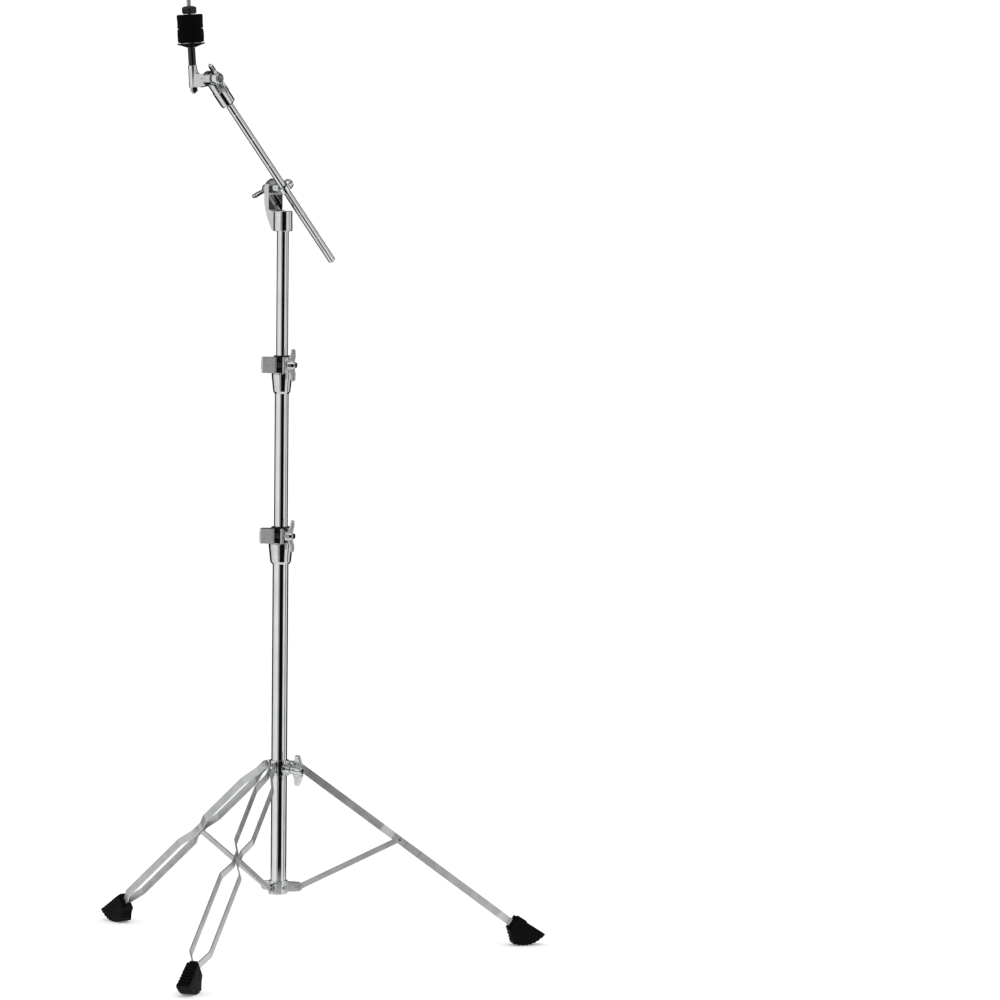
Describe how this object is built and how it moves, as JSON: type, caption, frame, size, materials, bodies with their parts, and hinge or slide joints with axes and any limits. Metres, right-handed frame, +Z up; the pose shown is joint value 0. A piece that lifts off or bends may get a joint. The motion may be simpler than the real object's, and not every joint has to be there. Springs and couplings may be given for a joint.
{
  "type": "cymbal boom stand",
  "caption": "Folding tripod stand with telescoping chromed tubes, a tilting boom rod and a felt-padded cymbal tilter on top.",
  "frame": {"origin": "on the axis of the upright tubes, at floor level", "axes": "+Z up along the tubes, +X to the right, +Y to the back; the right leg points close to +X and the front leg close to -Y"},
  "size_m": [0.7305, 0.7582, 1.5185],
  "materials": {
    "polished_chrome": "mirror polished chrome plating on steel",
    "chromed_casting": "polished chrome plating on die castings",
    "chromed_strip": "chrome plating on rolled steel strip, softly polished",
    "bright_steel": "bright zinc plated steel",
    "black_metal": "satin black",
    "black_plastic": "satin moulded nylon",
    "foot_rubber": "moulded matte rubber",
    "black_felt": "dense pressed wool felt"
  },
  "bodies": {
    "stand_base": {"base_tube": "polished_chrome", "base_tube_plug": "black_plastic", "lower_hub": "chromed_casting", "hub_hinge_rivets": "bright_steel", "hub_band_rivets": "bright_steel", "lower_clamp_body": "chromed_casting", "lower_clamp_screw": "black_metal"},
    "tripod_collar": {"tripod_collar": "chromed_casting", "tripod_collar_liner": "black_plastic"},
    "tripod_wing_bolt": {"tripod_wing_bolt_stud": "bright_steel", "tripod_wing_bolt_handle": "chromed_casting"},
    "lower_clamp_nut": {"lower_clamp_wing_nut": "chromed_casting"},
    "lower_swivel": {"lower_clamp_bushing": "black_plastic"},
    "middle_stage": {"middle_tube": "polished_chrome", "middle_tube_plug": "black_plastic", "upper_clamp_body": "chromed_casting", "upper_clamp_screw": "black_metal"},
    "upper_clamp_nut": {"upper_clamp_wing_nut": "chromed_casting"},
    "upper_swivel": {"upper_clamp_bushing": "black_plastic"},
    "upper_stage": {"upper_tube": "polished_chrome", "upper_tube_plug": "black_plastic", "boom_bracket": "chromed_casting", "boom_bracket_screw": "bright_steel", "boom_ratchet_fixed": "chromed_casting", "boom_washer": "bright_steel"},
    "boom_tilter": {"boom_ratchet_drum": "chromed_casting", "boom_eye_bolt": "polished_chrome"},
    "boom_clamp_nut": {"boom_wing_nut": "chromed_casting"},
    "boom_swivel": {"boom_rod_sleeve": "black_plastic"},
    "boom": {"boom_rod": "polished_chrome", "boom_socket": "chromed_casting", "boom_socket_screw": "bright_steel"},
    "cymbal_tilter": {"stack_arm": "chromed_casting", "tilter_stud": "bright_steel", "stack_rod": "bright_steel", "stack_lower_nut": "bright_steel", "stack_stem": "black_metal", "stack_dish": "black_metal", "stack_washer": "bright_steel", "stack_sleeve": "black_plastic", "felt_lower": "black_felt", "felt_upper": "black_felt"},
    "tilter_clamp_nut": {"tilter_wing_nut": "chromed_casting"},
    "cymbal_nut": {"top_nut": "black_plastic"},
    "leg_right": {"leg_right_strap_a": "chromed_strip", "leg_right_strap_b": "chromed_strip", "leg_right_rivets": "bright_steel", "leg_right_foot": "foot_rubber"},
    "brace_right_link": {"brace_right": "chromed_strip"},
    "leg_left": {"leg_left_strap_a": "chromed_strip", "leg_left_strap_b": "chromed_strip", "leg_left_rivets": "bright_steel", "leg_left_foot": "foot_rubber"},
    "brace_left_link": {"brace_left": "chromed_strip"},
    "leg_front": {"leg_front_strap_a": "chromed_strip", "leg_front_strap_b": "chromed_strip", "leg_front_rivets": "bright_steel", "leg_front_foot": "foot_rubber"},
    "brace_front_link": {"brace_front": "chromed_strip"}
  },
  "joints": [
    {"name": "collar_slide", "type": "slide", "parent": "stand_base", "child": "tripod_collar", "axis": [0, 0, 1], "range_m": [0, 0.18915]},
    {"name": "leg_right_fold", "type": "hinge", "parent": "tripod_collar", "child": "leg_right", "pos_m": [0.03141, 0.00611, 0.301], "axis": [-0.1908, 0.9816, 0], "range_deg": [0, 49.3]},
    {"name": "brace_right_fold", "type": "hinge", "parent": "stand_base", "child": "brace_right_link", "pos_m": [0.03141, 0.00611, 0.104], "axis": [0.1908, -0.9816, 0], "range_deg": [0, 61.5]},
    {"name": "leg_left_fold", "type": "hinge", "parent": "tripod_collar", "child": "leg_left", "pos_m": [-0.02099, 0.02415, 0.301], "axis": [-0.7547, -0.6561, 0], "range_deg": [0, 49.3]},
    {"name": "brace_left_fold", "type": "hinge", "parent": "stand_base", "child": "brace_left_link", "pos_m": [-0.02099, 0.02415, 0.104], "axis": [0.7547, 0.6561, 0], "range_deg": [0, 61.5]},
    {"name": "leg_front_fold", "type": "hinge", "parent": "tripod_collar", "child": "leg_front", "pos_m": [-0.01042, -0.03026, 0.301], "axis": [0.9455, -0.3256, 0], "range_deg": [0, 49.3]},
    {"name": "brace_front_fold", "type": "hinge", "parent": "stand_base", "child": "brace_front_link", "pos_m": [-0.01042, -0.03026, 0.104], "axis": [-0.9455, 0.3256, 0], "range_deg": [0, 61.5]},
    {"name": "tripod_wing_bolt_turn", "type": "hinge", "parent": "tripod_collar", "child": "tripod_wing_bolt", "pos_m": [0.01968, -0.02264, 0.298], "axis": [0.6561, -0.7547, 0], "range_deg": [-180, 180]},
    {"name": "lower_clamp_nut_turn", "type": "hinge", "parent": "stand_base", "child": "lower_clamp_nut", "pos_m": [-0.00391, -0.02012, 0.672], "axis": [0.9816, -0.1908, 0], "range_deg": [-180, 180]},
    {"name": "lower_swivel_turn", "type": "hinge", "parent": "stand_base", "child": "lower_swivel", "pos_m": [0, 0, 0.672], "axis": [0, 0, 1], "range_deg": [-180, 180]},
    {"name": "middle_tube_slide", "type": "slide", "parent": "lower_swivel", "child": "middle_stage", "axis": [0, 0, 1], "range_m": [-0.21, 0.12]},
    {"name": "upper_clamp_nut_turn", "type": "hinge", "parent": "middle_stage", "child": "upper_clamp_nut", "pos_m": [-0.00285, -0.0203, 0.94425], "axis": [0.9903, -0.1392, 0], "range_deg": [-180, 180]},
    {"name": "upper_swivel_turn", "type": "hinge", "parent": "middle_stage", "child": "upper_swivel", "pos_m": [0, 0, 0.943], "axis": [0, 0, 1], "range_deg": [-180, 180]},
    {"name": "upper_tube_slide", "type": "slide", "parent": "upper_swivel", "child": "upper_stage", "axis": [0, 0, 1], "range_m": [-0.197, 0.12]},
    {"name": "boom_tilt", "type": "hinge", "parent": "upper_stage", "child": "boom_tilter", "pos_m": [0, 0, 1.2246], "axis": [0.6428, -0.766, 0], "range_deg": [-7, 80]},
    {"name": "boom_clamp_nut_turn", "type": "hinge", "parent": "boom_tilter", "child": "boom_clamp_nut", "pos_m": [0, 0, 1.2246], "axis": [-0.6428, 0.766, 0], "range_deg": [-180, 180]},
    {"name": "boom_swivel_turn", "type": "hinge", "parent": "boom_tilter", "child": "boom_swivel", "pos_m": [0.00174, -0.00207, 1.2246], "axis": [-0.5066, -0.4251, 0.7501], "range_deg": [-180, 180]},
    {"name": "boom_slide", "type": "slide", "parent": "boom_swivel", "child": "boom", "axis": [-0.5066, -0.4251, 0.7501], "range_m": [-0.15, 0.13]},
    {"name": "cymbal_tilt", "type": "hinge", "parent": "boom", "child": "cymbal_tilter", "pos_m": [-0.11275, -0.09814, 1.39413], "axis": [0.6428, -0.766, 0], "range_deg": [-90, 90]},
    {"name": "tilter_nut_turn", "type": "hinge", "parent": "cymbal_tilter", "child": "tilter_clamp_nut", "pos_m": [-0.11275, -0.09814, 1.39413], "axis": [0.6428, -0.766, 0], "range_deg": [-180, 180]},
    {"name": "cymbal_nut_turn", "type": "hinge", "parent": "cymbal_tilter", "child": "cymbal_nut", "pos_m": [-0.14232, -0.0629, 1.39413], "axis": [-0.0641, -0.0538, 0.9965], "range_deg": [-180, 180]}
  ],
  "couplings": [
    {"joint": "leg_right_fold", "follows": "collar_slide", "rad_per_m": 4.5451},
    {"joint": "brace_right_fold", "follows": "collar_slide", "rad_per_m": 5.669},
    {"joint": "leg_left_fold", "follows": "collar_slide", "rad_per_m": 4.5451},
    {"joint": "brace_left_fold", "follows": "collar_slide", "rad_per_m": 5.669},
    {"joint": "leg_front_fold", "follows": "collar_slide", "rad_per_m": 4.5451},
    {"joint": "brace_front_fold", "follows": "collar_slide", "rad_per_m": 5.669}
  ]
}
